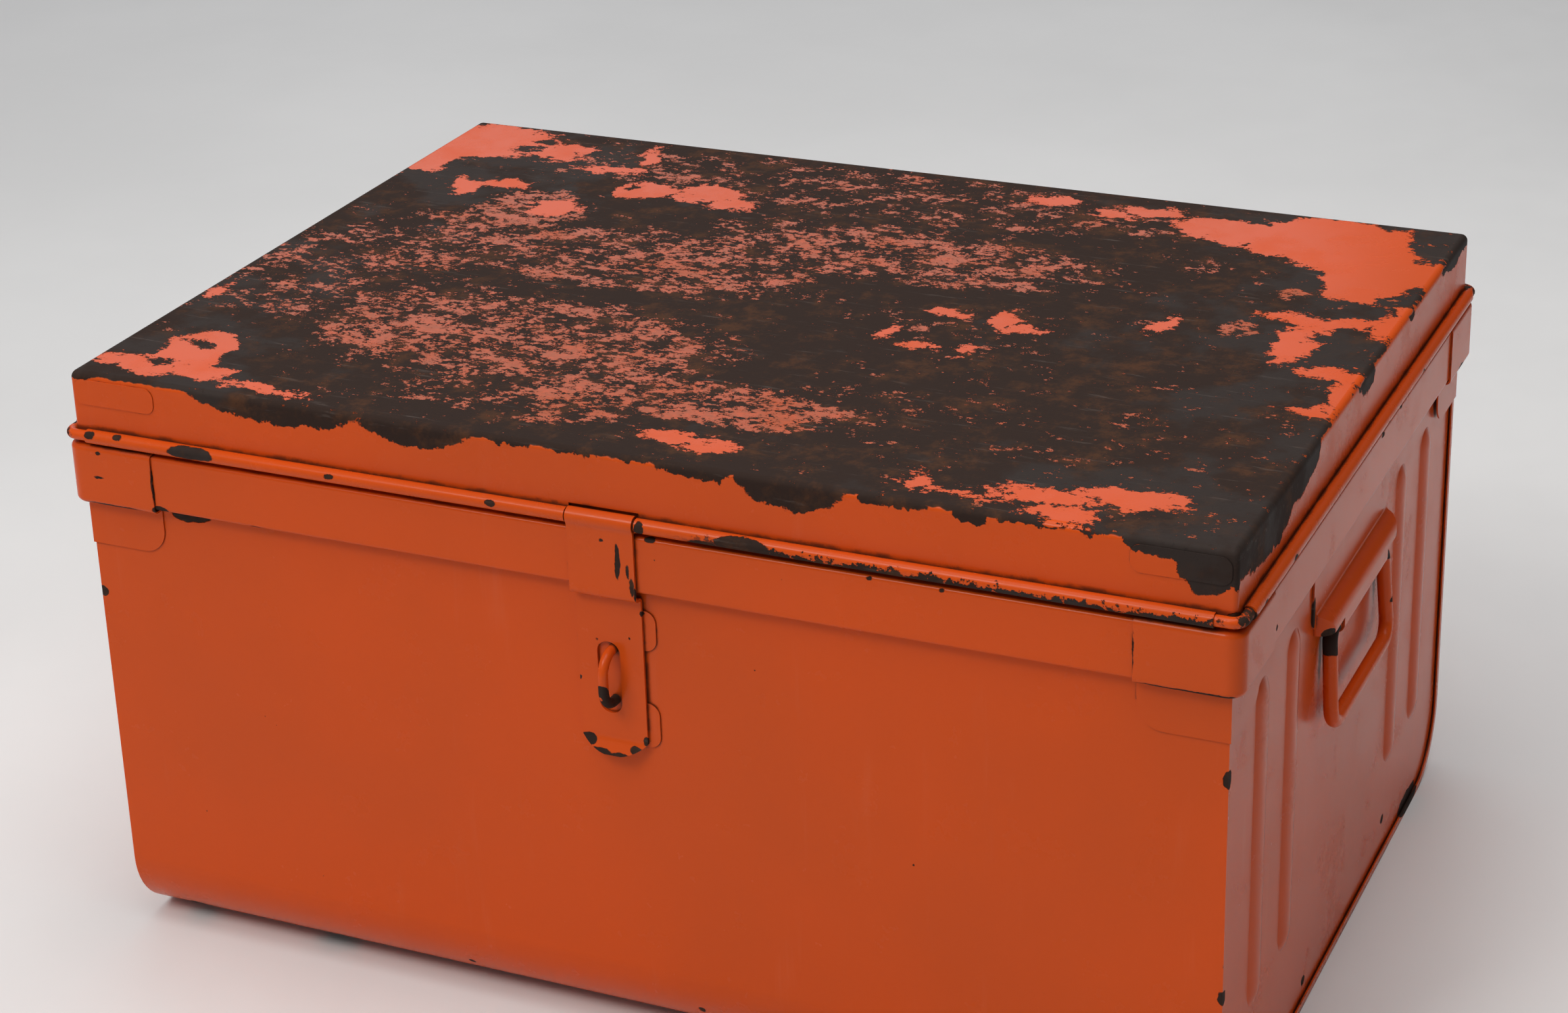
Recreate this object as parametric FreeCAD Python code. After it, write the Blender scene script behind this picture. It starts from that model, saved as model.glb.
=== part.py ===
"""Steel trunk tool box: folded sheet body, wired-edge lid, hasp and staple, two bail handles.

Frame: origin at the centre of the underside, +X to the right along the long side,
+Y to the back, +Z up. All sizes are in millimetres.
"""
import FreeCAD, Part
import math
import os

V = FreeCAD.Vector

# ---- overall sizes ---------------------------------------------------------------
LID_LENGTH = 600.0          # over the lid's side skirts, along X
LID_DEPTH = 424.0           # over the lid's front and back skirts, along Y
BOX_HEIGHT = 318.0          # floor to the lid's top face
SHEET = 0.8                 # body and lid sheet

# ---- lid -------------------------------------------------------------------------
CUT_PAST = 1.0              # a cut runs this far past the face it opens
LID_DROP = 32.8             # lid top down to the centre of the rolled edge
LID_TOP_RADIUS = 3.5        # outside radius where the top turns into the skirts
LID_CORNER_RADIUS = 2.5     # outside radius of the upright lid corners
EDGE_WIRE_DIA = 5.4         # wire inside the rolled edge
EDGE_WIRE_BEND = 5.0        # centre-line radius of the wire at each lid corner
ROLL_FIT = 0.05             # roll to wire
ROLL_TURN = 315.0           # how far the sheet is rolled round the wire, degrees
ROLL_CUT_BACK = 9.0         # the rolls stop this far short of the lid's corners
SKIRT_GAP = 1.6             # body wall to the inside of the lid skirt
FLAP_PROUD = 0.5            # folded corner flap above the skirt face
FLAP_LENGTH = 46.0
FLAP_LOW = 17.0             # flap's lower edge below the lid top
FLAP_TOP = 3.5              # flap's upper edge below the lid top
FLAP_ROUND = 5.0

# ---- body ------------------------------------------------------------------------
BOTTOM_RADIUS = 40.0        # outside radius where the wrapper turns under
WALL_OVER_BEAD = 19.8       # top of the walls, inside the lid, above the lid's rolled edge
HEM_DEPTH = 9.0             # safety hem folded to the inside along the top of each wall
HEM_STOP = 3.2              # the hems stop this far short of the wall's ends
RIM_WIDTH = 3.8             # seam rim, from the wrapper's outside inwards
PLATE_RECESS = 1.8          # end plate below the seam rim
SEAM_FIT = 0.05             # end plate flange to the wrapper
RIB_OFFSETS = (101.0, 152.5)    # swaged ribs each side of the end plate's middle
RIB_WIDTH = 20.0
RIB_HEIGHT = 2.5
RIB_LOW = 55.0
RIB_DROP = 22.05            # top of the ribs below the band

# ---- rim band, its corner caps and the corner patches ------------------------------
BAND_HEIGHT = 29.3
BAND_PROUD = 5.9            # band face in front of the wall
BAND_ARRIS = 2.0            # outside radius of the band's edges
BAND_FLANGE = 6.0           # inner flange that lies on the wall
BEAD_GAP = 2.3              # band top to the lid's rolled edge
CAP_SHEET = 1.0
CAP_FIT = 0.05              # cap to band
CAP_ARM = 50.0
CAP_DEEPER = 0.9            # cap's lower leg below the band, more than its fit
CAP_CORNER = 8.5            # outside radius of the cap seen from above
CAP_LEG_GAP = 0.8           # cap's inward legs to the wall
PATCH_SHEET = 0.8
PATCH_ARM = 43.0
PATCH_HEIGHT = 24.1
PATCH_ROUND = 13.0
PATCH_GAP = 0.1             # patch's top to the cap above it

# ---- hasp and staple ---------------------------------------------------------------
HASP_X = -4.9
HASP_WIDTH = 34.5
HASP_SHEET = 1.5
LOOP_FIT = 0.05             # hasp and hinge loops round the edge wire
HASP_TO_BAND = 0.7          # hasp's upper leaf to the band
HASP_TO_PLATE = 0.3         # hasp's lower leaf to the staple plate
HASP_NECK = 5.0             # centre-line radius where the leaf leaves the loop
HASP_LOOP_TURN = 316.0      # loop, from the neck round the wire, degrees
HASP_JOGGLE = 2.5           # centre-line radius of the joggle under the band
HASP_SIDE_DROP = 81.55      # below the band, where the straight sides end
HASP_TIP_DROP = 88.85       # and where the rounded tip ends
HASP_LIP_BEND = 6.0
HASP_LIP_ANGLE = 32.0
HASP_LIP_LENGTH = 6.5
SLOT_X = -6.2
SLOT_WIDTH = 12.0
SLOT_DROP = 29.55           # slot's top below the band
SLOT_LENGTH = 38.0
SLOT_FLAT = 0.01            # flat left between the round corners at each end of the slot
NOTCH_SIDE = 1.0            # lid notch beside a loop
NOTCH_OVER = 0.6            # lid notch above a loop
STAPLE_DIA = 5.0
STAPLE_BEND = 10.0
STAPLE_X = -4.2
STAPLE_LOW_MARGIN = 4.5     # slot's lower end to the staple's wire
STAPLE_TOP_MARGIN = 1.5     # and its upper end
STAPLE_PROUD = 13.2         # staple in front of the hasp
STAPLE_FIT = 0.05           # staple legs in their holes
STAPLE_HEAD_OVER = 1.3         # peened head beyond the wire, all round
STAPLE_HEAD = 1.2
PLATE_X = -1.0              # middle of the staple plate
PLATE_SHEET = 0.9
PLATE_WIDTH = 39.0
PLATE_WAIST = 24.0
PLATE_EAR_DROPS = ((11.05, 32.05), (60.05, 83.55))  # top and bottom of each ear below the band
PLATE_ROUND = 6.0

# ---- back hinges -------------------------------------------------------------------
HINGE_X = 200.0             # each hinge from the middle
HINGE_WIDTH = 34.0
HINGE_SHEET = 1.2
HINGE_NECK = 4.0
HINGE_LOOP_TURN = 300.0
HINGE_FOOT = 4.0            # strap's lower end above the band's lower edge
RIVET_SPACING = 16.0
RIVET_RADIUS = 2.0
RIVET_HEAD_RADIUS = 4.2
RIVET_HEAD = 1.6
RIVET_HEIGHT_IN_BAND = 13.0

# ---- bail handles ------------------------------------------------------------------
BAIL_DIA = 7.4
BAIL_HEIGHT = 50.0          # pivot bar down to the grip bar, centre to centre
BAIL_TOP_HALF = 50.0        # half width between the legs at the pivot bar
BAIL_GRIP_HALF = 54.0       # and at the grip bar
BAIL_TOP_BEND = 7.0
BAIL_GRIP_BEND = 10.0
BAIL_TILT = 4.0             # how far the stored bail stands off, degrees
BAIL_DROP = 46.05           # pivot bar's centre below the band
BAIL_TO_END = 0.3           # pivot bar to the end plate
BAIL_FIT = 0.1              # pivot bar in the bracket's roll
BRACKET_SHEET = 1.2
BRACKET_HALF = 71.0
BRACKET_BAND_GAP = 0.5      # bracket's top edge to the band
BRACKET_EAR_DROP = 7.0      # the plate's ears end this far above the pivot bar
BRACKET_ROUND = 8.0
HOOD_HALF = 66.0
HOOD_ROUND = 8.0            # centre-line radius of the hood
HOOD_SHOULDER = 3.0         # centre-line radius where the hood leaves the plate
HOOD_SPRING = 6.0           # height above the pivot bar where the hood starts to turn
ROLL_HALF = 41.0            # the roll under the pivot bar, half its length
ROLL_UNDER = 125.0          # how far it turns under the bar, degrees
HOOD_TO_LEG = 0.4           # the raised bail's legs to the hood's lip

# ---- worked-out places -------------------------------------------------------------
EDGE_WIRE = EDGE_WIRE_DIA / 2
ROLL_MID = EDGE_WIRE + ROLL_FIT + SHEET / 2
BEAD_Z = BOX_HEIGHT - LID_DROP
BEAD_OUT = ROLL_MID - SHEET / 2          # rolled edge's centre in front of the skirt
LID_X = LID_LENGTH / 2
LID_Y = LID_DEPTH / 2
BEAD_X = LID_X + BEAD_OUT
BEAD_Y = LID_Y + BEAD_OUT
BODY_X = LID_X - SHEET - SKIRT_GAP
BODY_Y = LID_Y - SHEET - SKIRT_GAP
PLATE_FACE = BODY_X - PLATE_RECESS
BAND_TOP = BEAD_Z - ROLL_MID - SHEET / 2 - BEAD_GAP
BAND_LOW = BAND_TOP - BAND_HEIGHT
BAND_X = BODY_X + BAND_PROUD
BAND_Y = BODY_Y + BAND_PROUD
WALL_TOP = BEAD_Z + WALL_OVER_BEAD
SLOT_TOP = BAND_LOW - SLOT_DROP
SLOT_LOW = SLOT_TOP - SLOT_LENGTH
BAIL_Z = BAND_LOW - BAIL_DROP
BAIL = BAIL_DIA / 2
BAIL_U = BAIL_TO_END + BAIL              # pivot bar's centre in front of the end plate


# ---- helpers -----------------------------------------------------------------------
def polar(centre, radius, degrees):
    """The point at an angle on a circle, in a flat drawing."""
    a = math.radians(degrees)
    return (centre[0] + radius * math.cos(a), centre[1] + radius * math.sin(a))


def strip_sides(start, heading, moves, thickness):
    """Left and right side of a bent strip, as lines and three-point arcs."""
    here = start
    left = []
    right = []
    half = thickness / 2
    for move in moves:
        if move[0] == "line":
            there = polar(here, move[1], heading)
            for side, turn in ((left, 90), (right, -90)):
                side.append((polar(here, half, heading + turn), polar(there, half, heading + turn)))
            here = there
            continue
        radius, turn = move[1], move[2]
        way = math.copysign(1, turn)
        centre = polar(here, radius, heading + 90 * way)
        first = heading - 90 * way
        for side, r in ((left, radius - way * half), (right, radius + way * half)):
            side.append(tuple(polar(centre, r, first + turn * share) for share in (0, 0.5, 1)))
        heading += turn
        here = polar(centre, radius, first + turn)
    return left, right


def drawn_edge(points, place):
    """An edge through two or three drawing points; place turns a point into a vector."""
    vectors = [place(*p) for p in points]
    if len(vectors) == 2:
        return Part.LineSegment(*vectors).toShape()
    return Part.Arc(*vectors).toShape()


def face_of(outline, place):
    """A flat face inside a closed outline of lines and arcs."""
    edges = [drawn_edge(points, place) for points in outline]
    return Part.Face(Part.Wire(edges))


def strip_face(start, heading, moves, thickness, place):
    """The flat section of a sheet bent along the moves of its middle line."""
    left, right = strip_sides(start, heading, moves, thickness)
    back = [tuple(reversed(points)) for points in reversed(right)]
    outline = left + [(left[-1][-1], back[0][0])] + back + [(back[-1][-1], left[0][0])]
    return face_of(outline, place)


def across(x):
    """Drawing plane across X: the drawing's axes are Y and Z."""
    return lambda u, v: V(x, u, v)


def along_y(y):
    """Drawing plane across Y: the drawing's axes are X and Z."""
    return lambda u, v: V(u, y, v)


def block(x0, x1, y0, y1, z0, z1):
    return Part.makeBox(x1 - x0, y1 - y0, z1 - z0, V(x0, y0, z0))


def union(shapes):
    """One solid from pieces that touch or cross."""
    joined = shapes[0].fuse(shapes[1:]) if len(shapes) > 1 else shapes[0]
    return joined.removeSplitter()


def rounded_rectangle(x0, x1, y0, y1, radius, place):
    """Face with four round corners."""
    moves = []
    for length in (x1 - x0, y1 - y0, x1 - x0, y1 - y0):
        moves += [(length - 2 * radius), 90]
    outline = []
    here = (x0 + radius, y0)
    heading = 0
    for length, turn in zip(moves[::2], moves[1::2]):
        there = polar(here, length, heading)
        outline.append((here, there))
        centre = polar(there, radius, heading + 90)
        corner = [polar(centre, radius, heading - 90 + a) for a in (0, turn / 2, turn)]
        outline.append(tuple(corner))
        here = corner[-1]
        heading += turn
    return face_of(outline, place)


def bent_wire(corners, bends, radius, closed=False):
    """Round wire along straight runs; each corner has its own bend radius."""
    count = len(corners)
    first, last = {}, {}
    pieces = []
    for i in range(0 if closed else 1, count if closed else count - 1):
        before, at, after = corners[i - 1], corners[i], corners[(i + 1) % count]
        come = (at - before).normalize()
        leave = (after - at).normalize()
        turn = math.degrees(come.getAngle(leave))
        reach = bends[i] * math.tan(math.radians(turn / 2))
        last[i] = at - come * reach
        first[i] = at + leave * reach
        axis = come.cross(leave).normalize()
        centre = last[i] + axis.cross(come) * bends[i]
        disc = Part.Face(Part.Wire(Part.makeCircle(radius, last[i], come)))
        pieces.append(disc.revolve(centre, axis, turn))
    for i in range(count if closed else count - 1):
        j = (i + 1) % count
        a = first.get(i, corners[i])
        b = last.get(j, corners[j])
        pieces.append(Part.makeCylinder(radius, (b - a).Length, a, b - a))
    return union(pieces)


def mirror_x(shape):
    return shape.mirror(V(0, 0, 0), V(1, 0, 0))


def mirror_y(shape):
    return shape.mirror(V(0, 0, 0), V(0, 1, 0))


def save(name, shape):
    shape.exportStep("parts/" + name + ".step")


# ---- body --------------------------------------------------------------------------
def u_strip(inset, thickness, top, x0, x1):
    """Strip that follows the wrapper's front, bottom and back, inset from its outside."""
    mid = inset + thickness / 2
    radius = BOTTOM_RADIUS - mid
    side = top - BOTTOM_RADIUS
    moves = [("line", side), ("arc", radius, 90), ("line", 2 * (BODY_Y - BOTTOM_RADIUS)),
             ("arc", radius, 90), ("line", side)]
    face = strip_face((mid - BODY_Y, top), 270, moves, thickness, across(x0))
    return face.extrude(V(x1 - x0, 0, 0))


def hem(place, wall_mid, length):
    """Safety hem: the top of a wall folded over to the inside and back down."""
    fold = SHEET
    moves = [("line", HEM_DEPTH), ("arc", fold, 180)]
    start = (wall_mid + 2 * fold, WALL_TOP - fold - SHEET / 2 - HEM_DEPTH)
    return strip_face(start, 90, moves, SHEET, place).extrude(length)


def staple_leg_heights():
    wire = STAPLE_DIA / 2
    return SLOT_LOW + STAPLE_LOW_MARGIN + wire, SLOT_TOP - STAPLE_TOP_MARGIN - wire


def staple_leg_holes():
    """Clearance for the staple's legs through the front wall and the staple plate."""
    radius = STAPLE_DIA / 2 + STAPLE_FIT
    reach = 2 * (SHEET + PLATE_SHEET)
    return [Part.makeCylinder(radius, 2 * reach, V(STAPLE_X, -BODY_Y - reach, z), V(0, 1, 0))
            for z in staple_leg_heights()]


def body_wrapper():
    fold_z = WALL_TOP - SHEET - SHEET / 2
    shell = u_strip(0, SHEET, fold_z, -BODY_X, BODY_X)
    rims = [u_strip(0, RIM_WIDTH, fold_z, -BODY_X, SHEET - BODY_X),
            u_strip(0, RIM_WIDTH, fold_z, BODY_X - SHEET, BODY_X)]
    start = HEM_STOP - BODY_X
    front = hem(across(start), SHEET / 2 - BODY_Y, V(-2 * start, 0, 0))
    whole = union([shell, front, mirror_y(front)] + rims)
    return whole.cut(staple_leg_holes())


def rib(y, radius, reach):
    """A long pressed rib as a full solid, with round ends."""
    half = RIB_WIDTH / 2
    centre_x = PLATE_FACE + RIB_HEIGHT - rib_radius()
    low, top = RIB_LOW + half, BAND_LOW - RIB_DROP - half
    rod = Part.makeCylinder(radius, top - low, V(centre_x, y, low), V(0, 0, 1))
    ends = [Part.makeSphere(radius, V(centre_x, y, z)) for z in (low, top)]
    whole = union([rod] + ends)
    keep = block(reach, BODY_X + RIB_HEIGHT, y - RIB_WIDTH, y + RIB_WIDTH, 0, BOX_HEIGHT)
    return whole.common(keep)


def rib_radius():
    """Radius of the arc that is RIB_WIDTH across and RIB_HEIGHT high."""
    half = RIB_WIDTH / 2
    return (half ** 2 + RIB_HEIGHT ** 2) / (2 * RIB_HEIGHT)


def end_plate():
    """Right-hand end plate with its outward flange, top hem and four ribs."""
    inset = SHEET + SEAM_FIT
    fold_z = WALL_TOP - SHEET - SHEET / 2
    inner = PLATE_FACE - SHEET
    edge_y = BODY_Y - inset
    radius = BOTTOM_RADIUS - inset
    outline = [((-edge_y, fold_z), (-edge_y, inset + radius))]
    left = (radius - edge_y, inset + radius)
    right = (edge_y - radius, inset + radius)
    outline.append(tuple(polar(left, radius, a) for a in (180, 225, 270)))
    outline.append(((left[0], inset), (right[0], inset)))
    outline.append(tuple(polar(right, radius, a) for a in (270, 315, 360)))
    outline.append(((edge_y, inset + radius), (edge_y, fold_z)))
    outline.append(((edge_y, fold_z), (-edge_y, fold_z)))
    plate = face_of(outline, across(inner)).extrude(V(SHEET, 0, 0))
    flange = u_strip(inset, SHEET, fold_z, inner, BODY_X - SHEET - SEAM_FIT)
    hem_y = BODY_Y - HEM_STOP - SHEET
    moves = [("line", HEM_DEPTH), ("arc", SHEET, -180)]
    start = (inner + SHEET / 2 - 2 * SHEET, fold_z - HEM_DEPTH)
    top_hem = strip_face(start, 90, moves, SHEET, along_y(-hem_y)).extrude(V(0, 2 * hem_y, 0))
    whole = union([plate, flange, top_hem])
    offsets = [side * y for y in RIB_OFFSETS for side in (-1, 1)]
    ribs = [rib(y, rib_radius(), inner + SHEET / 2) for y in offsets]
    hollows = [rib(y, rib_radius() - SHEET, inner - SHEET) for y in offsets]
    return union([whole] + ribs).cut(hollows)


# ---- rim band ----------------------------------------------------------------------
def band_section(depth, place):
    """Lipped channel: flange on the wall, leg out, face, leg back, flange on the wall."""
    t = SHEET
    outer = BAND_ARRIS - t / 2
    inner = t
    leg = depth - t / 2 - BAND_ARRIS - inner
    moves = [("line", BAND_FLANGE), ("arc", inner, 90), ("line", leg), ("arc", outer, 90),
             ("line", BAND_HEIGHT - 2 * BAND_ARRIS), ("arc", outer, 90), ("line", leg),
             ("arc", inner, 90), ("line", BAND_FLANGE)]
    start = (t / 2, BAND_LOW + t / 2 + inner + BAND_FLANGE)
    return strip_face(start, 270, moves, t, place)


def band_front():
    half = BAND_X - CAP_CORNER
    section = band_section(BAND_PROUD, lambda u, z: V(-half, -BODY_Y - u, z))
    return section.extrude(V(2 * half, 0, 0))


def band_right():
    half = BODY_Y - RIM_WIDTH - SHEET / 2
    section = band_section(BAND_X - PLATE_FACE, lambda u, z: V(PLATE_FACE + u, -half, z))
    return section.extrude(V(0, 2 * half, 0))


def corner_cap():
    """Cap over the band at the front right corner: two arms and a round corner."""
    t = CAP_SHEET
    low = BAND_LOW - CAP_DEEPER - CAP_FIT - t / 2
    height = BAND_HEIGHT + CAP_DEEPER + 2 * CAP_FIT + t
    arris = BAND_ARRIS + CAP_FIT + t / 2
    face_u = BAND_PROUD + CAP_FIT + t / 2
    leg = face_u - arris - CAP_LEG_GAP
    moves = [("line", leg), ("arc", arris, 90), ("line", height - 2 * arris),
             ("arc", arris, 90), ("line", leg)]
    outside = BAND_PROUD + CAP_FIT + t
    axis_x = BODY_X + outside - CAP_CORNER
    axis_y = CAP_CORNER - BODY_Y - outside
    run = CAP_ARM - CAP_CORNER
    front = strip_face((CAP_LEG_GAP, low), 0, moves, t,
                       lambda u, z: V(axis_x - run, -BODY_Y - u, z)).extrude(V(run, 0, 0))
    corner = strip_face((CAP_LEG_GAP, low), 0, moves, t,
                        lambda u, z: V(axis_x, -BODY_Y - u, z)).revolve(
                            V(axis_x, axis_y, 0), V(0, 0, 1), 90)
    side = strip_face((CAP_LEG_GAP, low), 0, moves, t,
                      lambda u, z: V(BODY_X + u, axis_y, z)).extrude(V(0, run, 0))
    return union([front, corner, side])


def corner_patch():
    """Doubler plate bent round the body's front right corner, under the cap."""
    t = PATCH_SHEET
    top = BAND_LOW - CAP_DEEPER - CAP_FIT - CAP_SHEET - PATCH_GAP
    low = top - PATCH_HEIGHT
    r = PATCH_ROUND

    def arm(end, corner, place):
        centre = (end + r, low + r)
        outline = [((end, top), (end, low + r)),
                   tuple(polar(centre, r, a) for a in (180, 225, 270)),
                   ((end + r, low), (corner, low)),
                   ((corner, low), (corner, top)),
                   ((corner, top), (end, top))]
        return face_of(outline, place)

    front = arm(BODY_X - PATCH_ARM, BODY_X + t, along_y(-BODY_Y)).extrude(V(0, -t, 0))
    side = arm(BODY_Y - PATCH_ARM, BODY_Y + t, lambda u, z: V(BODY_X, -u, z))
    return union([front, side.extrude(V(t, 0, 0))])


# ---- lid ---------------------------------------------------------------------------
def tray(x, y, low, top, edge, corner):
    """A full box with its top edges and upright corners rounded."""
    box = block(-x, x, -y, y, low, top)
    upright = [e for e in box.Edges if abs(e.tangentAt(0).z) > 0.5]
    box = box.makeFillet(corner, upright)
    rim = [e for e in box.Edges if min(v.Z for v in e.Vertexes) > top - 0.001]
    return box.makeFillet(edge, rim)


def roll(skirt, length):
    """Rolled edge of a skirt, drawn at the front; length is along X."""
    moves = [("arc", ROLL_MID, -ROLL_TURN)]
    start = (SHEET / 2 - skirt, BEAD_Z)
    face = strip_face(start, 270, moves, SHEET, across(-length / 2))
    return face.extrude(V(length, 0, 0))


def corner_flap():
    """Folded flap of the side skirt, lying on the front skirt at the right corner."""
    top = BOX_HEIGHT - FLAP_TOP
    low = BOX_HEIGHT - FLAP_LOW
    inner = LID_X - LID_CORNER_RADIUS - FLAP_LENGTH
    face = rounded_rectangle(inner, LID_X - LID_CORNER_RADIUS, low, top, FLAP_ROUND,
                             along_y(-LID_Y - FLAP_PROUD))
    return face.extrude(V(0, FLAP_PROUD + SHEET / 2, 0))


def notch(x, width, loop_radius, side):
    """Room in the lid's edge for a loop round the wire; side is -1 front or 1 back."""
    half = width / 2 + NOTCH_SIDE
    top = BEAD_Z + loop_radius + NOTCH_OVER
    y = side * BEAD_Y
    reach = 2 * ROLL_MID
    return block(x - half, x + half, y - reach, y + reach, BEAD_Z - reach, top)


def hasp_loop_radius():
    return EDGE_WIRE + LOOP_FIT + HASP_SHEET


def hinge_loop_radius():
    return EDGE_WIRE + LOOP_FIT + HINGE_SHEET


def lid_panel():
    outer = tray(LID_X, LID_Y, BEAD_Z, BOX_HEIGHT, LID_TOP_RADIUS, LID_CORNER_RADIUS)
    inner = tray(LID_X - SHEET, LID_Y - SHEET, BEAD_Z - CUT_PAST, BOX_HEIGHT - SHEET,
                 LID_TOP_RADIUS - SHEET, LID_CORNER_RADIUS - SHEET)
    front_roll = roll(LID_Y, LID_LENGTH - 2 * ROLL_CUT_BACK)
    side_roll = roll(LID_X, LID_DEPTH - 2 * ROLL_CUT_BACK)
    left_roll = side_roll.rotated(V(0, 0, 0), V(0, 0, 1), -90)
    flap = corner_flap()
    whole = union([outer.cut(inner), front_roll, mirror_y(front_roll), left_roll,
                   mirror_x(left_roll), flap, mirror_x(flap)])
    notches = [notch(HASP_X, HASP_WIDTH, hasp_loop_radius(), -1)]
    notches += [notch(x, HINGE_WIDTH, hinge_loop_radius(), 1) for x in (-HINGE_X, HINGE_X)]
    return whole.cut(notches)


def lid_edge_wire():
    corners = [V(x * BEAD_X, y * BEAD_Y, BEAD_Z) for x, y in ((-1, -1), (1, -1), (1, 1), (-1, 1))]
    return bent_wire(corners, [EDGE_WIRE_BEND] * len(corners), EDGE_WIRE, closed=True)


# ---- hasp, staple and hinges ---------------------------------------------------------
def loop_and_neck(loop_mid, offset, neck, turn):
    """Where a leaf leaves its loop: start point, heading and the two arcs of the path.

    The drawing's u points away from the box and the loop's centre is at (0, 0). The path
    starts at the loop's free end, goes round the wire, and turns back into a hanging leaf.
    """
    meet = math.degrees(math.acos((offset + neck) / (loop_mid + neck)))
    free = turn - meet
    start = polar((0, 0), loop_mid, free)
    moves = [("arc", loop_mid, -turn), ("arc", neck, meet)]
    drop = (loop_mid + neck) * math.sin(math.radians(meet))
    return start, free - 90, moves, drop


def hasp_strap():
    loop_mid = EDGE_WIRE + LOOP_FIT + HASP_SHEET / 2
    upper = BAND_Y + HASP_TO_BAND + HASP_SHEET / 2 - BEAD_Y
    lower = BODY_Y + PLATE_SHEET + HASP_TO_PLATE + HASP_SHEET / 2 - BEAD_Y
    start, heading, moves, drop = loop_and_neck(loop_mid, upper, HASP_NECK, HASP_LOOP_TURN)
    jog = HASP_JOGGLE
    step = upper - lower
    swing = math.degrees(math.acos(1 - step / (2 * jog))) if step < 2 * jog else 90.0
    level = max(0.0, step - 2 * jog)
    jog_drop = 2 * jog * math.sin(math.radians(swing))
    jog_top = BAND_LOW - HASP_SHEET
    straight = BEAD_Z - drop - jog_top
    moves += [("line", straight), ("arc", jog, -swing)]
    if level > 0:
        moves.append(("line", level))
    lip_drop = HASP_LIP_BEND * math.sin(math.radians(HASP_LIP_ANGLE))
    lip_drop += HASP_LIP_LENGTH * math.cos(math.radians(HASP_LIP_ANGLE))
    plain = jog_top - jog_drop - (BAND_LOW - HASP_TIP_DROP) - lip_drop
    moves += [("arc", jog, swing), ("line", plain), ("arc", HASP_LIP_BEND, HASP_LIP_ANGLE),
              ("line", HASP_LIP_LENGTH)]
    half = HASP_WIDTH / 2
    section = strip_face(start, heading, moves, HASP_SHEET,
                         lambda u, v: V(HASP_X - half, -BEAD_Y - u, BEAD_Z + v))
    strap = section.extrude(V(HASP_WIDTH, 0, 0))
    return strap.common(hasp_outline()).cut(hasp_slot())


def hasp_outline():
    """The strap's outline seen from the front, with its rounded tip."""
    half = HASP_WIDTH / 2
    left, right = HASP_X - half, HASP_X + half
    top = BOX_HEIGHT
    side_low = BAND_LOW - HASP_SIDE_DROP
    outline = [((left, top), (left, side_low)),
               ((left, side_low), (HASP_X, BAND_LOW - HASP_TIP_DROP), (right, side_low)),
               ((right, side_low), (right, top)),
               ((right, top), (left, top))]
    reach = BEAD_Y / 2
    return face_of(outline, along_y(-BEAD_Y - reach)).extrude(V(0, 2 * reach, 0))


def hasp_slot():
    half = SLOT_WIDTH / 2
    reach = BEAD_Y / 2
    face = rounded_rectangle(SLOT_X - half, SLOT_X + half, SLOT_LOW, SLOT_TOP, half - SLOT_FLAT,
                             along_y(-BEAD_Y - reach))
    return face.extrude(V(0, 2 * reach, 0))


def staple_plate():
    half = PLATE_WIDTH / 2
    ears = [rounded_rectangle(PLATE_X - half, PLATE_X + half, BAND_LOW - low, BAND_LOW - top,
                              PLATE_ROUND, along_y(-BODY_Y)) for top, low in PLATE_EAR_DROPS]
    solids = [ear.extrude(V(0, -PLATE_SHEET, 0)) for ear in ears]
    waist = PLATE_WAIST / 2
    upper, lower = [BAND_LOW - sum(drops) / 2 for drops in PLATE_EAR_DROPS]
    middle = block(PLATE_X - waist, PLATE_X + waist, -BODY_Y - PLATE_SHEET, -BODY_Y, lower, upper)
    return union(solids + [middle]).cut(staple_leg_holes())


def staple_loop():
    """Padlock staple: a bent wire through the plate and wall, its ends peened inside."""
    low, top = staple_leg_heights()
    lower_leaf = BODY_Y + PLATE_SHEET + HASP_TO_PLATE + HASP_SHEET
    crown = -(lower_leaf + STAPLE_PROUD - STAPLE_DIA / 2)
    inside = SHEET + STAPLE_HEAD - BODY_Y
    corners = [V(STAPLE_X, y, z) for y, z in ((inside, low), (crown, low), (crown, top), (inside, top))]
    wire = bent_wire(corners, [0, STAPLE_BEND, STAPLE_BEND, 0], STAPLE_DIA / 2)
    heads = [Part.makeCylinder(STAPLE_DIA / 2 + STAPLE_HEAD_OVER, STAPLE_HEAD, V(STAPLE_X, SHEET - BODY_Y, z),
                               V(0, 1, 0)) for z in (low, top)]
    return union([wire] + heads)


def hinge_strap(x):
    """Hinge leaf on the back band, looped round the lid's edge wire."""
    loop_mid = EDGE_WIRE + LOOP_FIT + HINGE_SHEET / 2
    offset = BAND_Y + HINGE_SHEET / 2 - BEAD_Y
    start, heading, moves, drop = loop_and_neck(loop_mid, offset, HINGE_NECK, HINGE_LOOP_TURN)
    moves.append(("line", BEAD_Z - drop - BAND_LOW - HINGE_FOOT))
    half = HINGE_WIDTH / 2
    section = strip_face(start, heading, moves, HINGE_SHEET,
                         lambda u, v: V(x - half, BEAD_Y + u, BEAD_Z + v))
    strap = section.extrude(V(HINGE_WIDTH, 0, 0))
    return strap.cut(rivet_shanks(x, BAND_Y - SHEET, BAND_Y + HINGE_SHEET))


def rivet_places(x):
    z = BAND_LOW + RIVET_HEIGHT_IN_BAND
    return [(x + side * RIVET_SPACING / 2, z) for side in (-1, 1)]


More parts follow.
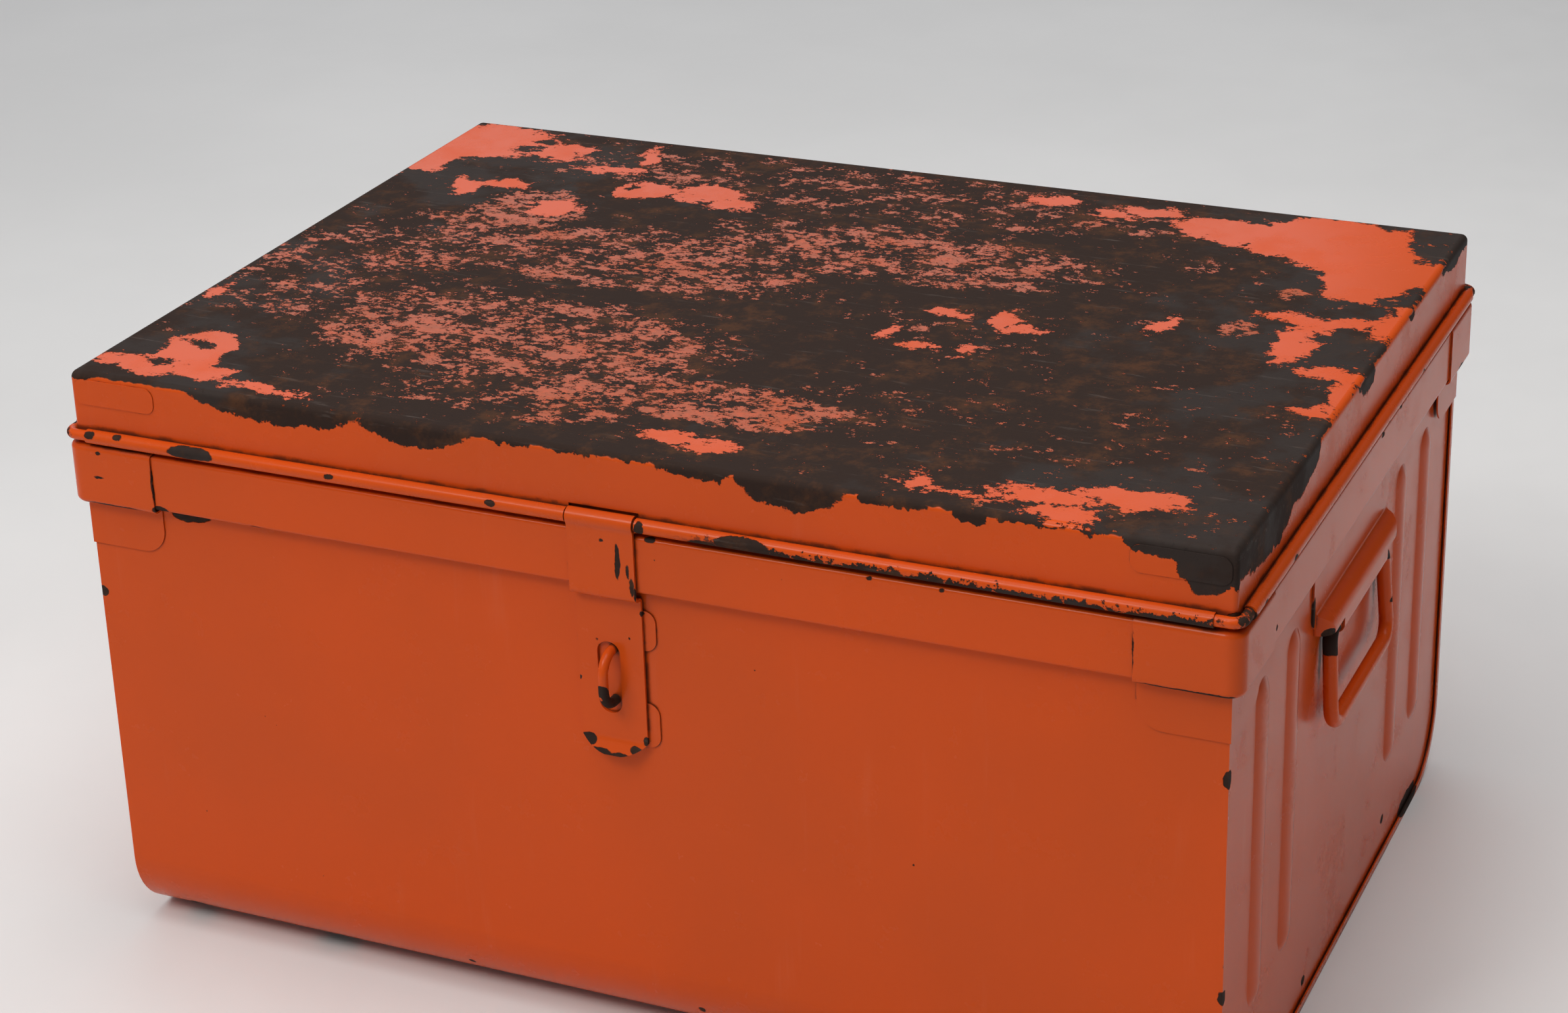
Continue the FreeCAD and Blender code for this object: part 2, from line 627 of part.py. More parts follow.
def rivet_shanks(x, inner, outer):
    return [Part.makeCylinder(RIVET_RADIUS, outer - inner, V(rx, inner, z), V(0, 1, 0))
            for rx, z in rivet_places(x)]


def dome(x, y, z, way):
    """Low round rivet head whose flat side is at y."""
    ball = (RIVET_HEAD_RADIUS ** 2 + RIVET_HEAD ** 2) / (2 * RIVET_HEAD)
    sphere = Part.makeSphere(ball, V(x, y + way * (RIVET_HEAD - ball), z))
    r = RIVET_HEAD_RADIUS
    near, far = sorted((y, y + way * 2 * RIVET_HEAD))
    return sphere.common(block(x - r, x + r, near, far, z - r, z + r))


def hinge_rivets(x):
    """Rivets through one hinge strap and the back band, as separate solids."""
    inner, outer = BAND_Y - SHEET, BAND_Y + HINGE_SHEET
    rivets = []
    for shank, (rx, z) in zip(rivet_shanks(x, inner, outer), rivet_places(x)):
        rivets.append(union([shank, dome(rx, outer, z, 1), dome(rx, inner, z, -1)]))
    return Part.makeCompound(rivets)


def band_back():
    band = mirror_y(band_front())
    shanks = [s for x in (-HINGE_X, HINGE_X)
              for s in rivet_shanks(x, BAND_Y - SHEET, BAND_Y + HINGE_SHEET)]
    return band.cut(shanks)


# ---- handles -----------------------------------------------------------------------
def hood_outline(offset, low):
    """Side view of the hood's outside (offset +) or inside (offset -), down to low."""
    turn_z = BAIL_Z + HOOD_SPRING
    face_u = BAIL_U + BAIL + BAIL_FIT + BRACKET_SHEET / 2
    centre = (face_u - HOOD_ROUND, turn_z)
    plate_mid = BRACKET_SHEET / 2
    rise = math.degrees(math.acos((plate_mid + HOOD_SHOULDER - centre[0]) / (HOOD_ROUND + HOOD_SHOULDER)))
    shoulder = polar(centre, HOOD_ROUND + HOOD_SHOULDER, rise)
    outer = [polar(centre, HOOD_ROUND + offset, a) for a in (0, rise / 2, rise)]
    bend = [polar(shoulder, HOOD_SHOULDER - offset, 180 + a) for a in (rise, rise / 2, 0)]
    back = -BRACKET_SHEET
    foot = (outer[0][0], low)
    return [((back, low), foot), (foot, outer[0]), tuple(outer), tuple(bend),
            (bend[-1], (back, bend[-1][1])), ((back, bend[-1][1]), (back, low))]


def hood_plan(offset):
    """Top view of the hood with its round ends, as lines and arcs."""
    face_u = BAIL_U + BAIL + BAIL_FIT + BRACKET_SHEET / 2 + offset
    end = HOOD_HALF - BRACKET_SHEET / 2 + offset
    r = face_u
    near = [polar((0, r - end), r, a) for a in (270, 315, 360)]
    far = [polar((0, end - r), r, a) for a in (0, 45, 90)]
    back = -BRACKET_SHEET
    return [((back, -end), (0, -end)), tuple(near), (near[-1], far[0]), tuple(far),
            ((0, end), (back, end)), ((back, end), (back, -end))]


def hood_solid(offset, low):
    side = face_of(hood_outline(offset, low), lambda u, z: V(PLATE_FACE + u, -2 * HOOD_HALF, z))
    plan = face_of(hood_plan(offset), lambda u, y: V(PLATE_FACE + u, y, 0))
    return side.extrude(V(0, 4 * HOOD_HALF, 0)).common(plan.extrude(V(0, 0, BOX_HEIGHT)))


def handle_bracket():
    """Pressed bracket: plate on the end wall, hood over the bail, roll round its bar."""
    half = BRACKET_SHEET / 2
    lip = BAIL_Z + BAIL + HOOD_TO_LEG
    hollow = hood_solid(-half, BAIL_Z - BAIL_DIA)
    hood = hood_solid(half, lip).cut(hollow)
    top = BAND_LOW - BRACKET_BAND_GAP
    low = BAIL_Z + BRACKET_EAR_DROP
    plate = rounded_rectangle(-BRACKET_HALF, BRACKET_HALF, low, top, BRACKET_ROUND,
                              across(PLATE_FACE)).extrude(V(BRACKET_SHEET, 0, 0))
    roll_mid = BAIL + BAIL_FIT + half
    reach = PLATE_FACE + BAIL_U + 2 * roll_mid
    front = block(PLATE_FACE, reach, -BRACKET_HALF, BRACKET_HALF, lip, top)
    overlap = BRACKET_SHEET
    moves = [("line", lip - BAIL_Z + overlap), ("arc", roll_mid, -ROLL_UNDER)]
    section = strip_face((PLATE_FACE + BAIL_U + roll_mid, lip + overlap), 270, moves,
                         BRACKET_SHEET, along_y(-ROLL_HALF))
    return union([plate.cut(hollow), hood.common(front), section.extrude(V(0, 2 * ROLL_HALF, 0))])


def bail_handle():
    """Closed wire bail on the right end, hanging from its pivot bar."""
    x, z = PLATE_FACE + BAIL_U, BAIL_Z
    lean = math.radians(BAIL_TILT)
    grip_x = x + BAIL_HEIGHT * math.sin(lean)
    grip_z = z - BAIL_HEIGHT * math.cos(lean)
    corners = [V(x, -BAIL_TOP_HALF, z), V(grip_x, -BAIL_GRIP_HALF, grip_z),
               V(grip_x, BAIL_GRIP_HALF, grip_z), V(x, BAIL_TOP_HALF, z)]
    bends = [BAIL_TOP_BEND, BAIL_GRIP_BEND, BAIL_GRIP_BEND, BAIL_TOP_BEND]
    return bent_wire(corners, bends, BAIL, closed=True)


# ---- all the pieces ------------------------------------------------------------------
def make_parts():
    """Every piece, by its node name."""
    parts = {"body_wrapper": body_wrapper(), "rim_band_front": band_front(),
             "rim_band_back": band_back(), "staple_plate": staple_plate(),
             "staple_loop": staple_loop(), "hasp_strap": hasp_strap(),
             "lid_panel": lid_panel(), "lid_edge_wire": lid_edge_wire()}
    for name, make in (("end_plate", end_plate), ("rim_band", band_right),
                       ("handle_bracket", handle_bracket), ("handle", bail_handle)):
        right = make()
        parts[name + "_right"] = right
        parts[name + "_left"] = mirror_x(right)
    for name, make in (("corner_cap", corner_cap), ("corner_patch", corner_patch)):
        corner = make()
        parts[name + "_front_right"] = corner
        parts[name + "_front_left"] = mirror_x(corner)
        parts[name + "_back_right"] = mirror_y(corner)
        parts[name + "_back_left"] = mirror_x(mirror_y(corner))
    for side, x in (("_left", -HINGE_X), ("_right", HINGE_X)):
        parts["hinge_strap" + side] = hinge_strap(x)
        parts["hinge_rivets" + side] = hinge_rivets(x)
    return parts


os.makedirs("parts", exist_ok=True)
for node, piece in make_parts().items():
    save(node, piece)
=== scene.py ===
# Worn steel trunk tool box: enamel, bare steel, wear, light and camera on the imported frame.

import math

import bpy
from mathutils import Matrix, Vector


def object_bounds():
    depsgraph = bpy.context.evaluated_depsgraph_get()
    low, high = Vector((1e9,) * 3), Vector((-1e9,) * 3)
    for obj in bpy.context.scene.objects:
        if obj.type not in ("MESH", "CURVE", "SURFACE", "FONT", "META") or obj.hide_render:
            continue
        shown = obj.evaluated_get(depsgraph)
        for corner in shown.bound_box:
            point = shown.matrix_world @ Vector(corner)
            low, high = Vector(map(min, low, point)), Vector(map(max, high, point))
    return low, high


bl_info = {
    "name": "Steel Trunk Finish",
    "version": (1, 0, 0),
    "blender": (4, 5, 0),
    "location": "View3D > Sidebar > Steel Trunk",
    "description": "Enamel, flaked paint and bare steel for a packed tool trunk",
    "category": "Object",
}

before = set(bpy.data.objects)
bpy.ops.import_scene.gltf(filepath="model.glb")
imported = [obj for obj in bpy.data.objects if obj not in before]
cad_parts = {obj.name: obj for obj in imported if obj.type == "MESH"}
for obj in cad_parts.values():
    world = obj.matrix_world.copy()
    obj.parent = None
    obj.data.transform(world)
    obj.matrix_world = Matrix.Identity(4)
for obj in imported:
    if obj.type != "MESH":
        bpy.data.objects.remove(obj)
cad_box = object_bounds()

MM = 0.001
FLOOR_REACH = 14.0
CAMERA_PLACE = (0.6524, -1.4459, 0.9241)
CAMERA_TURN = (66.873, 1.606, 23.868)
CAMERA_SENSOR = 36.0
CAMERA_SHIFT = -0.051
# The room is brightest along this way, up and to the left, and dim on the right.
BRIGHT_WAY = (-0.62, -0.25, 0.74)
# Specular level of old enamel and skinned steel.
DULL_SHINE = 0.16
WIRE_SHINE = 0.2

SHELL_NODES = ("body_wrapper", "end_plate_left", "end_plate_right")
BAND_NODES = ("rim_band_front", "rim_band_back", "rim_band_left", "rim_band_right")
CORNERS = ("front_left", "front_right", "back_left", "back_right")
CAP_NODES = tuple("corner_cap_" + c for c in CORNERS)
PATCH_NODES = tuple("corner_patch_" + c for c in CORNERS)
HINGE_NODES = ("hinge_strap_left", "hinge_strap_right", "hinge_rivets_left", "hinge_rivets_right")
BRACKET_NODES = ("handle_bracket_left", "handle_bracket_right")
BAIL_NODES = ("handle_left", "handle_right")


# ---- settings ------------------------------------------------------------------------
class TrunkPaint(bpy.types.PropertyGroup):
    """Colours and gloss of the enamel and the steel under it."""

    enamel: bpy.props.FloatVectorProperty(
        name="Enamel", description="Orange enamel", subtype="COLOR", size=3, min=0, max=1,
        default=(0.62, 0.074, 0.006))
    enamel_worn: bpy.props.FloatVectorProperty(
        name="Worn enamel", description="Enamel where it is thin, rubbed or stained",
        subtype="COLOR", size=3, min=0, max=1, default=(0.33, 0.062, 0.013))
    steel_brown: bpy.props.FloatVectorProperty(
        name="Brown steel", description="Old bare steel with a brown skin", subtype="COLOR",
        size=3, min=0, max=1, default=(0.026, 0.014, 0.010))
    steel_grey: bpy.props.FloatVectorProperty(
        name="Grey steel", description="Newer bare steel", subtype="COLOR", size=3, min=0,
        max=1, default=(0.031, 0.023, 0.020))
    rust: bpy.props.FloatVectorProperty(
        name="Rust", description="Thin rust on the bare steel", subtype="COLOR", size=3,
        min=0, max=1, default=(0.090, 0.034, 0.013))
    gloss: bpy.props.FloatProperty(
        name="Roughness", description="Roughness of sound enamel", default=0.22, min=0.02,
        max=1, subtype="FACTOR")


class TrunkWear(bpy.types.PropertyGroup):
    """How worn and dirty the paint is."""

    chip_depth: bpy.props.FloatProperty(
        name="Paint thickness", description="Step from the enamel down to the steel",
        default=0.35 * MM, min=0, max=2 * MM, subtype="DISTANCE", unit="LENGTH")
    edge_reach: bpy.props.FloatProperty(
        name="Edge wear", description="How far from a sharp edge the paint is rubbed",
        default=0.9 * MM, min=0, max=5 * MM, subtype="DISTANCE", unit="LENGTH")
    # How far the seam darkening reaches: painted shade from ambient occlusion, along with dirt.
    dirt_and_shade_reach: bpy.props.FloatProperty(
        name="Seam dirt and shade", description="How far dirt spreads from a seam",
        default=3.0 * MM, min=0, max=20 * MM, subtype="DISTANCE", unit="LENGTH")
    dent_depth: bpy.props.FloatProperty(
        name="Sheet waviness", description="Shallow unevenness of the pressed sheet",
        default=0.9 * MM, min=0, max=5 * MM, subtype="DISTANCE", unit="LENGTH")


class TrunkStage(bpy.types.PropertyGroup):
    """Floor, light and camera."""

    floor_colour: bpy.props.FloatVectorProperty(
        name="Floor", description="Pale floor", subtype="COLOR", size=3, min=0, max=1,
        default=(0.80, 0.80, 0.80))
    key_power: bpy.props.FloatProperty(
        name="Front light", description="Power of the soft light from the front left",
        default=38.0, min=0, unit="POWER")
    sky_power: bpy.props.FloatProperty(
        name="Top light", description="Power of the soft light overhead", default=37.0,
        min=0, unit="POWER")
    rear_power: bpy.props.FloatProperty(
        name="Rear light", description="Power of the low soft light behind", default=6.0,
        min=0, unit="POWER")
    ambient: bpy.props.FloatProperty(
        name="Ambient", description="Strength of the light from all round", default=0.34,
        min=0, max=5)
    lens: bpy.props.FloatProperty(
        name="Lens", description="Focal length in millimetres", default=75.7, min=10, max=300)


# ---- where the wear is, in millimetres --------------------------------------------------
# Sound paint left on the lid's top: centre x, y and radius x, y.
LID_PATCHES = (
    (-285, 165, 36, 44), (-262, 184, 30, 22), (-233, 168, 26, 9), (-224, 180, 15, 8),
    (-248, 108, 13, 19), (-230, 116, 14, 8), (-290, 132, 22, 16), (-183, 155, 20, 6),
    (-172, 182, 5, 18), (-150, 130, 17, 17), (-113, 135, 22, 15), (-90, 121, 15, 9),
    (178, 172, 32, 18), (132, 190, 17, 9), (112, 178, 12, 7), (75, 187, 14, 9),
    (235, 172, 44, 36), (272, 145, 34, 56), (275, 92, 9, 18), (298, 82, 12, 34),
    (262, 61, 32, 9), (257, 30, 14, 27), (288, -8, 20, 9), (298, -30, 8, 24),
    (288, -54, 14, 6), (-255, -168, 21, 25), (-266, -191, 38, 11), (-238, -190, 17, 11),
    (-196, -198, 28, 4), (20, -182, 18, 7), (38, -188, 14, 6), (240, -176, 28, 11),
    (208, -187, 25, 8), (164, -196, 24, 3), (143, -192, 6, 9), (218, -204, 17, 9),
    (112, 10, 9, 13), (126, 1, 13, 5), (80, 8, 8, 7), (84, -36, 9, 5), (62, -22, 5, 8),
    (108, -37, 4, 9), (188, 28, 5, 12), (-185, 84, 14, 15), (-292, -90, 6, 10))
# Bare islands inside those patches.
LID_HOLES = (
    (-254, 136, 26, 21), (-247, 170, 7, 9), (-243, 190, 8, 6), (293, 190, 17, 27),
    (237, 127, 7, 6), (245, 210, 9, 5), (264, 212, 8, 6), (282, 42, 22, 9),
    (270, 78, 26, 12), (291, 104, 8, 16), (-290, -177, 10, 6), (-260, -160, 7, 4),
    (-262, -186, 8, 4), (-158, 134, 4, 5), (218, 138, 10, 5))
# Where loose flakes of paint are left: centre x, y, radius x, y and how thick they lie.
LID_FLAKES = (
    (-115, -95, 150, 72, 0.66), (-110, 25, 140, 62, 0.62), (25, 78, 150, 52, 0.62),
    (-195, 78, 42, 46, 0.72), (10, -140, 115, 32, 0.66), (-255, -40, 62, 110, 0.52),
    (-40, 165, 250, 50, 0.50), (-215, 20, 70, 60, 0.56), (225, 36, 14, 16, 0.66),
    (185, 118, 18, 13, 0.62), (238, 92, 12, 11, 0.62), (-75, -172, 80, 26, 0.56),
    (185, -150, 34, 20, 0.42), (225, -100, 34, 30, 0.42), (90, -110, 50, 22, 0.44),
    (110, -20, 70, 50, 0.36))
# Bare places on the lid's skirts and rolled edge: centre x, y, z and radius x, y, z.
SKIRT_CHIPS = (
    (-297, -212, 319, 12, 8, 5), (-182, -212, 318, 49, 9, 12), (-104, -212, 318, 31, 9, 12),
    (-55, -212, 318, 14, 9, 4), (-20, -212, 318, 16, 9, 4), (12, -212, 318, 8, 9, 3),
    (42, -212, 318, 20, 9, 6), (90, -212, 318, 28, 9, 14), (140, -212, 318, 17, 9, 5),
    (177, -212, 318, 10, 9, 7), (206, -212, 318, 19, 9, 4), (233, -212, 318, 9, 9, 4),
    (264, -212, 318, 15, 9, 9), (286, -212, 315, 15, 9, 20),
    (300, -165, 318, 9, 54, 23), (300, -118, 318, 9, 40, 16), (300, -150, 299, 6, 8, 6),
    (300, 2, 318, 8, 15, 11), (300, 90, 318, 8, 7, 6), (300, 185, 318, 9, 34, 8),
    (300, -214, 304, 5, 5, 8), (-300, 120, 318, 9, 40, 9), (-300, -60, 318, 9, 55, 7),
    (-300, 195, 318, 9, 26, 12), (-120, 212, 318, 60, 9, 9), (90, 212, 318, 70, 9, 6),
    (230, 212, 318, 34, 9, 12), (-260, 212, 318, 26, 9, 7))
BEAD_CHIPS = (
    (68, -219, 285, 14, 6, 4.4), (-229, -219, 286, 13, 6, 3.6), (48, -219, 282, 8, 6, 3),
    (-62, -218, 286, 3, 3, 1.5),
    (-150, -218, 286, 2.5, 3, 1.4), (-272, -218, 288, 3, 3, 1.6), (-288, -218, 287, 3, 3, 1.6),
    (16, -219, 285, 2.5, 6, 4), (303, -212, 284, 9, 7, 5), (-304, -210, 289, 5, 5, 4),
    (305, -188, 284, 3, 3, 2), (306, -168, 283, 3, 2, 1.5), (306, -141, 284, 3, 3, 2),
    (306, 26, 282, 3, 5, 2.5), (306, 95, 284, 3, 2, 1.4), (-306, 60, 283, 3, 30, 3),
    (-150, 219, 282, 60, 4, 3), (120, 219, 282, 40, 4, 3))
SHELL_CHIPS = (
    (-271, -190, 8, 9, 9, 6), (-188, -188, 6, 13, 8, 5), (-100, -201, 17, 2, 2, 2),
    (-238, -210, 248, 12, 3, 4), (31, -203, 20, 2, 2, 3), (-297, -200, 30, 3, 6, 7),
    (298, -209, 92, 3, 4, 4), (298, -209, 205, 3, 3, 5), (-297, -209, 196, 4, 4, 3),
    (297, -60, 12, 3, 4, 3), (297, 95, 22, 3, 3, 3),
    (297, 150, 5, 4, 20, 5), (-250, 203, 14, 12, 5, 5))
# Bare places on the rim band, caps and patches: centre x, y, z and radius x, y, z. The first four
# entries are thin dark lines along the corner caps' edges. They are painted shade of the crevice between
# cap and band, drawn as bare steel.
RIM_CHIPS_AND_SHADE_LINES = (
    (254.6, -215.5, 264, 0.5, 2, 12), (-254.6, -215.5, 264, 0.5, 2, 12),
    (276, -215.5, 249.3, 22, 2, 0.6), (-280, -215.5, 249.3, 18, 2, 0.6),
    (291, -215, 248.5, 13, 3, 1.8), (268, -215, 248.5, 4, 3, 1.2), (20, -215, 279, 3, 3, 1.6),
    (130, -215, 278, 1.5, 2, 1), (165, -215, 278, 1.5, 2, 1), (-285, -216, 277, 1.6, 2, 1),
    (-286, -217, 264, 3, 2, 0.7), (-252, -215, 251, 5, 3, 2), (-196, -215, 250, 5, 3, 1),
    (303, 25, 277, 2, 3, 1.4), (303, 60, 278, 2, 2, 1), (304, -160, 258, 2, 1.5, 1.5),
    (303, 190, 250, 3, 7, 2), (-303, -120, 250, 3, 20, 2), (0, 215, 250, 90, 3, 1.6))
HASP_CHIPS = (
    (4.2, -218, 268.5, 1.4, 2, 7.5), (3.6, -218, 262, 1.2, 2, 5), (9, -218, 262, 1, 1, 4),
    (10.5, -218, 254, 1.3, 2, 5), (12.5, -218, 250, 1.2, 2, 4), (12.4, -212, 238, 1, 2, 1.4),
    (-19, -214, 167, 5, 5, 3), (-12, -217, 162.5, 8, 4, 1.6), (0, -218, 162, 8, 4, 1.3),
    (7, -216, 165.5, 4, 4, 2), (12, -213, 170, 2, 3, 2.4), (-4, -218, 276, 1, 2, 0.8),
    (-22, -213, 199, 0.9, 2, 1.4), (5.5, -212.5, 224, 0.7, 1, 0.7), (-12, -213, 221, 1, 1, 1))
STAPLE_CHIPS = ((-4.2, -222, 192, 6, 12, 9), (-4.2, -226, 199, 5, 4, 4.5))
STAPLE_KEEP = ((-5.4, -225.8, 195.6, 1.6, 1.6, 1.5), (-3, -226, 190, 1.3, 1.6, 1.2))
BAIL_CHIPS = (
    (300, -50, 201, 9, 8, 10), (300, 51, 203, 9, 6, 5), (304, 53, 175, 5, 3, 2),
    (-300, 50, 202, 9, 8, 8), (-300, -51, 203, 9, 6, 5), (306, -10, 151, 3, 20, 1.6))
BRACKET_CHIPS = (
    (303, -63, 209, 4, 5, 3), (304, 62, 208, 3, 5, 2.2), (297, -70, 222, 2, 2, 9),
    (298, 20, 249, 2, 38, 1.8), (-303, 60, 209, 4, 6, 3), (-304, -30, 208, 3, 20, 1.4))


# ---- node helpers ------------------------------------------------------------------------
class Graph:
    """Adds nodes to one node tree and joins them."""

    def __init__(self, tree):
        self.tree = tree
        tree.nodes.clear()

    def put(self, socket, value):
        if isinstance(value, bpy.types.NodeSocket):
            self.tree.links.new(value, socket)
        elif value is not None:
            socket.default_value = value

    def node(self, kind, inputs=(), **settings):
        made = self.tree.nodes.new(kind)
        for name, value in settings.items():
            setattr(made, name, value)
        for name, value in dict(inputs).items():
            self.put(made.inputs[name], value)
        return made

    def math(self, operation, a, b=None, clamp=False):
        made = self.node("ShaderNodeMath", {0: a, 1: b}, operation=operation, use_clamp=clamp)
        return made.outputs[0]

    def vector(self, operation, a, b=None, scale=None):
        made = self.node("ShaderNodeVectorMath", {0: a, 1: b}, operation=operation)
        self.put(made.inputs[3], scale)
        scalar = operation in ("LENGTH", "DOT_PRODUCT", "DISTANCE")
        return made.outputs["Value" if scalar else "Vector"]

    def noise(self, point, size, detail=3.0, roughness=0.5, colour=False):
        """Noise whose blobs are about size metres across."""
        made = self.node("ShaderNodeTexNoise", {
            "Vector": point, "Scale": 1 / size, "Detail": detail, "Roughness": roughness})
        return made.outputs["Color" if colour else "Fac"]

    def step(self, value, low, high, to_low=0.0, to_high=1.0):
        """Smooth rise of value between low and high."""
        made = self.node("ShaderNodeMapRange", {
            "Value": value, "From Min": low, "From Max": high, "To Min": to_low,
            "To Max": to_high}, interpolation_type="SMOOTHSTEP")
        return made.outputs["Result"]

    def blend(self, share, a, b):
        """Colour that goes from a to b as share goes from 0 to 1."""
        made = self.node("ShaderNodeMix", data_type="RGBA")
        for index, value in ((0, share), (6, a), (7, b)):
            self.put(made.inputs[index], value)
        return made.outputs[2]

    def between(self, share, a, b):
        """Number that goes from a to b as share goes from 0 to 1."""
        made = self.node("ShaderNodeMix", data_type="FLOAT")
        for index, value in ((0, share), (2, a), (3, b)):
            self.put(made.inputs[index], value)
        return made.outputs[0]

    def split(self, vector):
        return self.node("ShaderNodeSeparateXYZ", {0: vector}).outputs

    def group(self, tree, **inputs):
        """A placed node group; spaces in socket names are written as underscores."""
        made = self.tree.nodes.new("ShaderNodeGroup")
        made.node_tree = tree
        for name, value in inputs.items():
            self.put(made.inputs[name.replace("_", " ")], value)
        return made.outputs


def new_group(name, inputs, outputs):
    """An empty shader node group with named sockets: (graph, input sockets, output node)."""
    tree = bpy.data.node_groups.new(name, "ShaderNodeTree")
    kinds = {"vector": "NodeSocketVector", "colour": "NodeSocketColor", "value": "NodeSocketFloat"}
    for label, kind, default in inputs:
        socket = tree.interface.new_socket(label, in_out="INPUT", socket_type=kinds[kind])
        if default is not None:
            socket.default_value = default
    for label, kind in outputs:
        tree.interface.new_socket(label, in_out="OUTPUT", socket_type=kinds[kind])
    g = Graph(tree)
    entry = g.node("NodeGroupInput")
    return g, entry.outputs, g.node("NodeGroupOutput")


def rgba(colour):
    return (*colour, 1.0)


# ---- shared effects ------------------------------------------------------------------------
def blot_group():
    """How far inside an ellipsoid a point lies, in metres; below nothing outside."""
    g, ins, out = new_group(
        "Blot", (("Point", "vector", None), ("Centre", "vector", None), ("Radii", "vector", None),
                 ("Size", "value", 0.01)), (("Inside", "value"),))
    away = g.vector("SUBTRACT", ins["Point"], ins["Centre"])
    share = g.vector("LENGTH", g.vector("DIVIDE", away, ins["Radii"]))
    g.put(out.inputs["Inside"], g.math("MULTIPLY", g.math("SUBTRACT", 1.0, share), ins["Size"]))
    return g.tree


def stray_group():
    """Moves a point about by noise, so that outlines drawn with it turn ragged."""
    g, ins, out = new_group(
        "Stray", (("Point", "vector", None), ("Lobe", "value", 0.03), ("Lobe Reach", "value", 0.01),
                  ("Nick", "value", 0.005), ("Nick Reach", "value", 0.002)), (("Point", "vector"),))
    moved = ins["Point"]
    for size, reach in (("Lobe", "Lobe Reach"), ("Nick", "Nick Reach")):
        tone = g.node("ShaderNodeTexNoise", {
            "Vector": ins["Point"], "Scale": g.math("DIVIDE", 1.0, ins[size]), "Detail": 4.0,
            "Roughness": 0.62})
        shift = g.vector("SUBTRACT", tone.outputs["Color"], (0.5, 0.5, 0.5))
        shift = g.vector("SCALE", shift, scale=g.math("MULTIPLY", 2.0, ins[reach]))
        moved = g.vector("ADD", moved, shift)
    g.put(out.inputs["Point"], moved)
    return g.tree


def enamel_group():
    """Sprayed enamel: drifts of tone, fine peel, rubbed streaks."""
    g, ins, out = new_group(
        "Enamel", (("Point", "vector", None), ("Colour", "colour", None), ("Worn", "colour", None),
                   ("Gloss", "value", 0.27), ("Dents", "value", 0.0)),
        (("Colour", "colour"), ("Roughness", "value"), ("Height", "value")))
    drift = g.noise(ins["Point"], 0.16, 3)
    tone = g.blend(g.step(drift, 0.35, 0.75, 0.0, 0.22), ins["Colour"], ins["Worn"])
    stretched = g.vector("MULTIPLY", ins["Point"], (1.0, 1.0, 0.09))
    streak = g.noise(stretched, 0.012, 4, 0.6)
    tone = g.blend(g.step(streak, 0.60, 0.80, 0.0, 0.10), tone, (0.74, 0.20, 0.10, 1.0))
    grime = g.noise(ins["Point"], 0.004, 5, 0.7)
    tone = g.blend(g.step(grime, 0.66, 0.80, 0.0, 0.25), tone, ins["Worn"])
    g.put(out.inputs["Colour"], tone)
    rub = g.noise(ins["Point"], 0.035, 5, 0.65)
    rough = g.math("ADD", ins["Gloss"], g.step(rub, 0.40, 0.75, -0.03, 0.10))
    g.put(out.inputs["Roughness"], rough)
    peel = g.math("MULTIPLY", g.noise(ins["Point"], 0.0022, 2), 0.000018)
    wave = g.math("MULTIPLY", g.noise(ins["Point"], 0.13, 1), ins["Dents"])
    g.put(out.inputs["Height"], g.math("ADD", peel, wave))
    return g.tree


def steel_group():
    """Old bare sheet: brown skin, greyer newer places, rust bloom, pits and rubbing."""
    g, ins, out = new_group(
        "Bare Steel", (("Point", "vector", None), ("Brown", "colour", None), ("Grey", "colour", None),
                       ("Rust", "colour", None), ("Newness", "value", 0.0)),
        (("Colour", "colour"), ("Roughness", "value"), ("Metallic", "value"), ("Height", "value")))
    cloud = g.math("ADD", g.noise(ins["Point"], 0.045, 4, 0.6), ins["Newness"])
    grey = g.step(cloud, 0.56, 0.72, 0.0, 0.75)
    tone = g.blend(grey, ins["Brown"], ins["Grey"])
    bloom = g.noise(ins["Point"], 0.018, 7, 0.72)
    rusty = g.math("MULTIPLY", g.step(bloom, 0.48, 0.70, 0.0, 0.62), g.math("SUBTRACT", 1.0, grey))
    tone = g.blend(rusty, tone, ins["Rust"])
    speck = g.noise(ins["Point"], 0.0018, 4, 0.7)
    tone = g.blend(g.step(speck, 0.58, 0.72, 0.0, 0.55), tone, (0.012, 0.009, 0.008, 1.0))
    stretched = g.vector("MULTIPLY", ins["Point"], (0.12, 1.0, 1.0))
    scuff = g.noise(stretched, 0.0035, 5, 0.65)
    tone = g.blend(g.step(scuff, 0.60, 0.76, 0.0, 0.40), tone, (0.13, 0.10, 0.085, 1.0))
    g.put(out.inputs["Colour"], tone)
    rough = g.math("SUBTRACT", g.between(grey, 0.80, 0.62), g.step(scuff, 0.55, 0.75, 0.0, 0.10))
    g.put(out.inputs["Roughness"], rough)
    g.put(out.inputs["Metallic"], g.between(grey, 0.0, 0.12))
    pits = g.math("ADD", g.math("MULTIPLY", speck, 0.00008), g.math("MULTIPLY", scuff, 0.00006))
    g.put(out.inputs["Height"], pits)
    return g.tree


def seam_group():
    """Painted shade and dirt in seams and corners: ambient occlusion darkens where other surfaces are
    near.
    """
    g, ins, out = new_group(
        "Seam Dirt And Shade", (("Point", "vector", None), ("Reach", "value", 0.002)), (("Mask", "value"),))
    near = g.node("ShaderNodeAmbientOcclusion", {"Distance": ins["Reach"]}, samples=6)
    patchy = g.noise(ins["Point"], 0.012, 4, 0.6)
    limit = g.step(patchy, 0.30, 0.70, 0.50, 0.85)
    dark = g.math("SUBTRACT", limit, near.outputs["AO"])
    g.put(out.inputs["Mask"], g.step(dark, 0.0, 0.15))
    return g.tree


